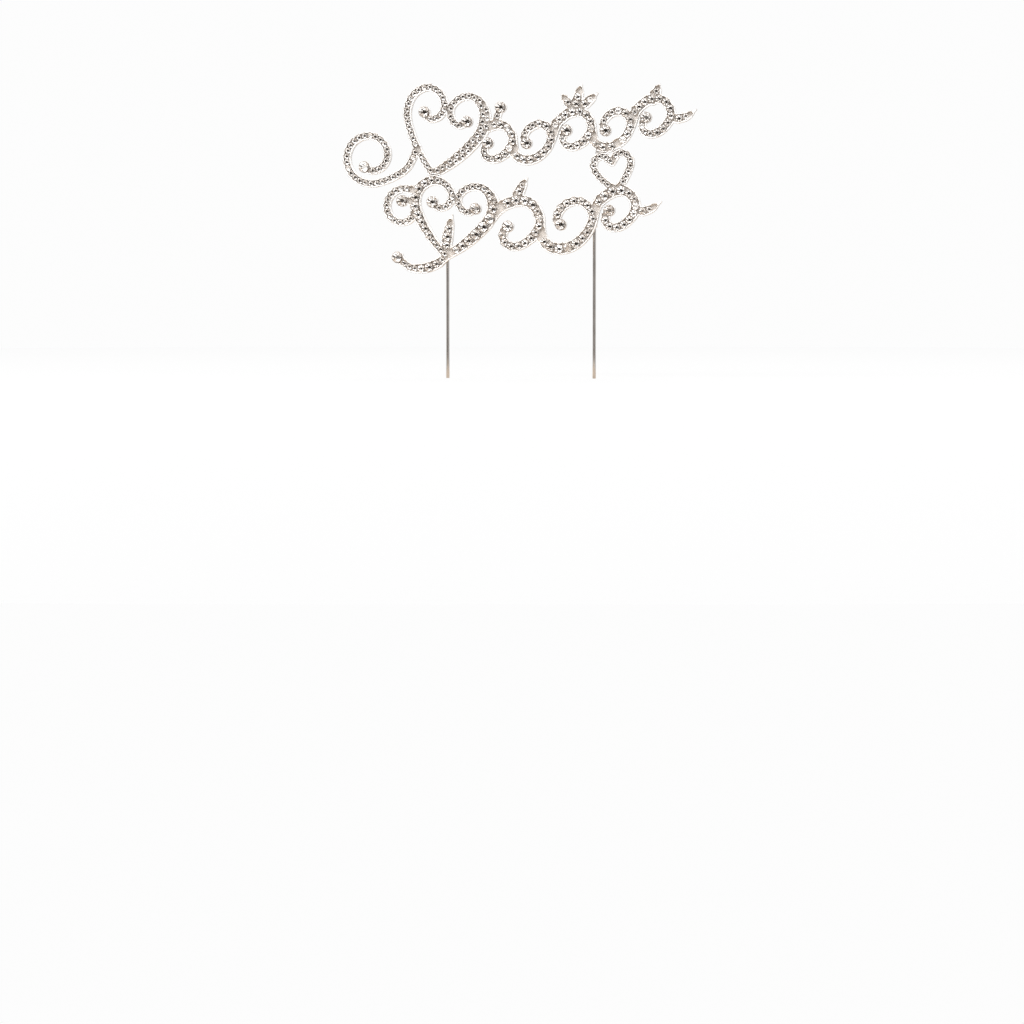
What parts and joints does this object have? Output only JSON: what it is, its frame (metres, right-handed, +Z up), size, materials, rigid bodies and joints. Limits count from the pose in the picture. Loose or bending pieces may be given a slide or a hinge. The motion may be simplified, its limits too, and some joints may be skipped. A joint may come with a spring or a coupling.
{
  "type": "rhinestone cake topper",
  "caption": "Two-tier scroll ornament of silver-plated cast channel set with clear rhinestones, held up by thin steel stakes that push into a soft top.",
  "frame": {"origin": "midway between the two stake axes, at the level where the stakes enter what the topper stands in", "axes": "+Z up along the stakes, +X to the right as seen from the front, the stones face -Y"},
  "size_m": [0.1641, 0.0072, 0.1772],
  "materials": {
    "plated_metal": "bright silver plate",
    "steel_stake": "polished rod",
    "solder": "plated over, satin",
    "crystal": "clear cut stone, foil back"
  },
  "bodies": {
    "ornament": {"berry_stalk_ball_stone": "crystal", "berry_stalk_stones": "crystal", "bud_left_leaf_stones": "crystal", "bud_right_leaf_stones": "crystal", "bud_stem_stones": "crystal", "heart_bud_stones": "crystal", "left_socket": "plated_metal", "left_solder_joint": "solder", "left_spiral_ball_stone": "crystal", "left_spiral_stones": "crystal", "link_heart_left_stones": "crystal", "link_heart_right_stones": "crystal", "lower_casting": "plated_metal", "lower_curl_1_ball_stone": "crystal", "lower_curl_1_stones": "crystal", "lower_curl_2_ball_stone": "crystal", "lower_curl_2_stones": "crystal", "lower_curl_3_ball_stone": "crystal", "lower_curl_3_stones": "crystal", "lower_heart_left_ball_stone": "crystal", "lower_heart_left_stones": "crystal", "lower_heart_right_ball_stone": "crystal", "lower_heart_right_stones": "crystal", "lower_leaf_stones": "crystal", "lower_swash_ball_stone": "crystal", "lower_swash_stones": "crystal", "lower_tail_stones": "crystal", "right_socket": "plated_metal", "right_solder_joint": "solder", "side_scroll_ball_stone": "crystal", "side_scroll_stones": "crystal", "upper_casting": "plated_metal", "upper_curl_1_ball_stone": "crystal", "upper_curl_1_stones": "crystal", "upper_curl_2_ball_stone": "crystal", "upper_curl_2_stones": "crystal", "upper_curl_3_ball_stone": "crystal", "upper_curl_3_stones": "crystal", "upper_curl_4_ball_stone": "crystal", "upper_curl_4_stones": "crystal", "upper_curl_5_ball_stone": "crystal", "upper_curl_5_stones": "crystal", "upper_heart_left_ball_stone": "crystal", "upper_heart_left_stones": "crystal", "upper_heart_left_stones_2": "crystal", "upper_heart_right_ball_stone": "crystal", "upper_heart_right_stones": "crystal", "upper_leaf_stones": "crystal", "upper_tail_stones": "crystal"},
    "left_stake_rod": {"left_stake": "steel_stake"},
    "right_stake_rod": {"right_stake": "steel_stake"}
  },
  "joints": [
    {"name": "left_stake_slide", "type": "slide", "parent": "ornament", "child": "left_stake_rod", "axis": [0, 0, -1], "range_m": [0, 0.012]},
    {"name": "right_stake_slide", "type": "slide", "parent": "ornament", "child": "right_stake_rod", "axis": [0, 0, -1], "range_m": [0, 0.012]}
  ]
}
